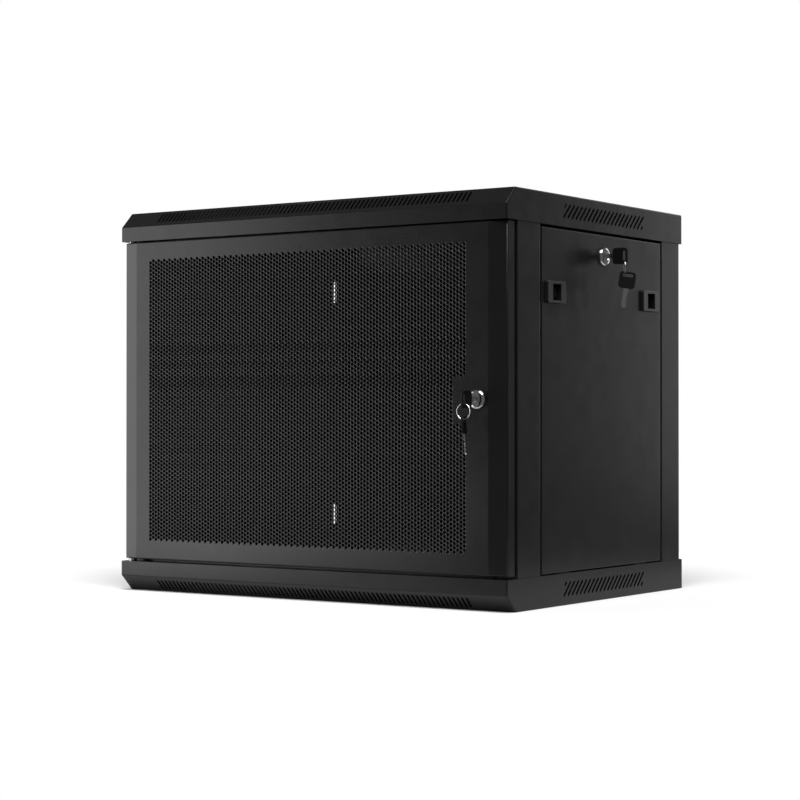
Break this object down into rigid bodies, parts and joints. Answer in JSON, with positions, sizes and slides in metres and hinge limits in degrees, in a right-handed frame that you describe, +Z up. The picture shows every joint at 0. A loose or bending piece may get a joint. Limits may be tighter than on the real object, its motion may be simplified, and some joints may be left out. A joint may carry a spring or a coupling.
{
  "type": "network server rack cabinet",
  "caption": "Wall-mounted 19-inch network cabinet with a perforated locking front door, tilting side panels, vented covers, slotted rear posts and square-hole rails.",
  "frame": {"origin": "centre of the face that the cabinet stands on", "axes": "+X to the right of someone facing the door, +Y from the door to the wall, +Z up"},
  "size_m": [0.6434, 0.4894, 0.501],
  "materials": {
    "black_powder_paint": "semi-gloss black powder coat on folded steel sheet",
    "zinc_fasteners": "zinc-plated steel",
    "chrome_lock": "polished chrome plate",
    "key_steel": "bright nickel-plated steel wire",
    "black_latch_plastic": "satin black moulded plastic",
    "key_set": "black plastic bow on a nickel-plated steel blade",
    "spring_steel": "bright spring wire"
  },
  "bodies": {
    "cabinet": {"top_cover": "black_powder_paint", "bottom_cover": "black_powder_paint", "front_right_post": "black_powder_paint", "front_left_post": "black_powder_paint", "rear_right_post": "black_powder_paint", "rear_left_post": "black_powder_paint", "upper_right_rail_support": "black_powder_paint", "upper_left_rail_support": "black_powder_paint", "lower_right_rail_support": "black_powder_paint", "lower_left_rail_support": "black_powder_paint", "front_right_rail": "black_powder_paint", "front_left_rail": "black_powder_paint", "rear_right_rail": "black_powder_paint", "rear_left_rail": "black_powder_paint", "rear_panel": "black_powder_paint", "top_cable_plate": "black_powder_paint", "bottom_cable_plate": "black_powder_paint", "rear_cable_plate": "black_powder_paint", "cable_plate_screws": "zinc_fasteners", "frame_screws": "zinc_fasteners", "frame_nuts": "zinc_fasteners", "cover_studs": "zinc_fasteners", "hinge_bushes": "zinc_fasteners", "frame_earth_stud": "zinc_fasteners"},
    "door": {"door_panel": "black_powder_paint", "door_hinge_pin": "zinc_fasteners", "spring_pin_bracket": "zinc_fasteners", "door_pin_spring": "spring_steel", "door_earth_stud": "zinc_fasteners", "door_lock_body": "chrome_lock", "door_lock_nut": "chrome_lock"},
    "door_spring_pin": {"door_spring_pin": "zinc_fasteners"},
    "door_plug": {"door_lock_plug": "chrome_lock", "door_lock_cam": "chrome_lock", "door_cam_screw": "chrome_lock"},
    "door_key": {"door_key": "key_set"},
    "door_key_ring": {"door_key_ring": "key_steel"},
    "door_spare_key": {"door_spare_key": "key_set"},
    "right_panel": {"right_side_panel": "black_powder_paint", "right_panel_lock_body": "chrome_lock", "right_panel_lock_nut": "chrome_lock", "right_latch_bezels": "black_latch_plastic"},
    "right_front_slider": {"right_front_latch_slider": "black_latch_plastic"},
    "right_rear_slider": {"right_rear_latch_slider": "black_latch_plastic"},
    "right_plug": {"right_panel_lock_plug": "chrome_lock", "right_panel_lock_cam": "chrome_lock", "right_panel_cam_screw": "chrome_lock"},
    "right_key": {"right_key": "key_set"},
    "right_key_ring": {"right_key_ring": "key_steel"},
    "right_spare_key": {"right_spare_key": "key_set"},
    "left_panel": {"left_side_panel": "black_powder_paint", "left_panel_lock_body": "chrome_lock", "left_panel_lock_nut": "chrome_lock", "left_latch_bezels": "black_latch_plastic"},
    "left_front_slider": {"left_front_latch_slider": "black_latch_plastic"},
    "left_rear_slider": {"left_rear_latch_slider": "black_latch_plastic"},
    "left_plug": {"left_panel_lock_plug": "chrome_lock", "left_panel_lock_cam": "chrome_lock", "left_panel_cam_screw": "chrome_lock"}
  },
  "joints": [
    {"name": "door_hinge", "type": "hinge", "parent": "cabinet", "child": "door", "pos_m": [-0.289, -0.214, 0.2505], "axis": [0, 0, -1], "range_deg": [0, 180]},
    {"name": "spring_pin_slide", "type": "slide", "parent": "door", "child": "door_spring_pin", "axis": [0, 0, -1], "range_m": [0, 0.008], "stiffness_N_per_m": 400, "springref_m": -0.004, "deforming": ["door_pin_spring"]},
    {"name": "door_lock_turn", "type": "hinge", "parent": "door", "child": "door_plug", "pos_m": [0.2586, -0.225, 0.2505], "axis": [0, 1, 0], "range_deg": [0, 90]},
    {"name": "door_key_pull", "type": "slide", "parent": "door_plug", "child": "door_key", "axis": [0, -1, 0], "range_m": [0, 0.018]},
    {"name": "door_key_ring_swing", "type": "hinge", "parent": "door_key", "child": "door_key_ring", "pos_m": [0.2586, -0.2544, 0.24525], "axis": [1, 0, 0], "range_deg": [-60, 10]},
    {"name": "door_spare_key_swing", "type": "hinge", "parent": "door_key_ring", "child": "door_spare_key", "pos_m": [0.2586, -0.2544, 0.22705], "axis": [1, 0, 0], "range_deg": [-30, 12]},
    {"name": "right_panel_tilt", "type": "hinge", "parent": "cabinet", "child": "right_panel", "pos_m": [0.2986, 0.0108, 0.04], "axis": [0, 1, 0], "range_deg": [0, 25]},
    {"name": "right_front_latch_slide", "type": "slide", "parent": "right_panel", "child": "right_front_slider", "axis": [0, -1, 0], "range_m": [0, 0.008]},
    {"name": "right_rear_latch_slide", "type": "slide", "parent": "right_panel", "child": "right_rear_slider", "axis": [0, 1, 0], "range_m": [0, 0.008]},
    {"name": "right_lock_turn", "type": "hinge", "parent": "right_panel", "child": "right_plug", "pos_m": [0.2986, 0.0108, 0.4318], "axis": [1, 0, 0], "range_deg": [0, 90]},
    {"name": "left_panel_tilt", "type": "hinge", "parent": "cabinet", "child": "left_panel", "pos_m": [-0.2986, 0.0108, 0.04], "axis": [0, -1, 0], "range_deg": [0, 25]},
    {"name": "left_front_latch_slide", "type": "slide", "parent": "left_panel", "child": "left_front_slider", "axis": [0, -1, 0], "range_m": [0, 0.008]},
    {"name": "left_rear_latch_slide", "type": "slide", "parent": "left_panel", "child": "left_rear_slider", "axis": [0, 1, 0], "range_m": [0, 0.008]},
    {"name": "left_lock_turn", "type": "hinge", "parent": "left_panel", "child": "left_plug", "pos_m": [-0.2986, 0.0108, 0.4318], "axis": [-1, 0, 0], "range_deg": [0, 90]},
    {"name": "right_key_pull", "type": "slide", "parent": "right_plug", "child": "right_key", "axis": [1, 0, 0], "range_m": [0, 0.018]},
    {"name": "right_key_ring_swing", "type": "hinge", "parent": "right_key", "child": "right_key_ring", "pos_m": [0.328, 0.0108, 0.42655], "axis": [-0.5635, 0.8261, 0], "range_deg": [-60, 10]},
    {"name": "right_spare_key_swing", "type": "hinge", "parent": "right_key_ring", "child": "right_spare_key", "pos_m": [0.328, 0.0108, 0.40835], "axis": [-0.5635, 0.8261, 0], "range_deg": [-30, 12]}
  ]
}
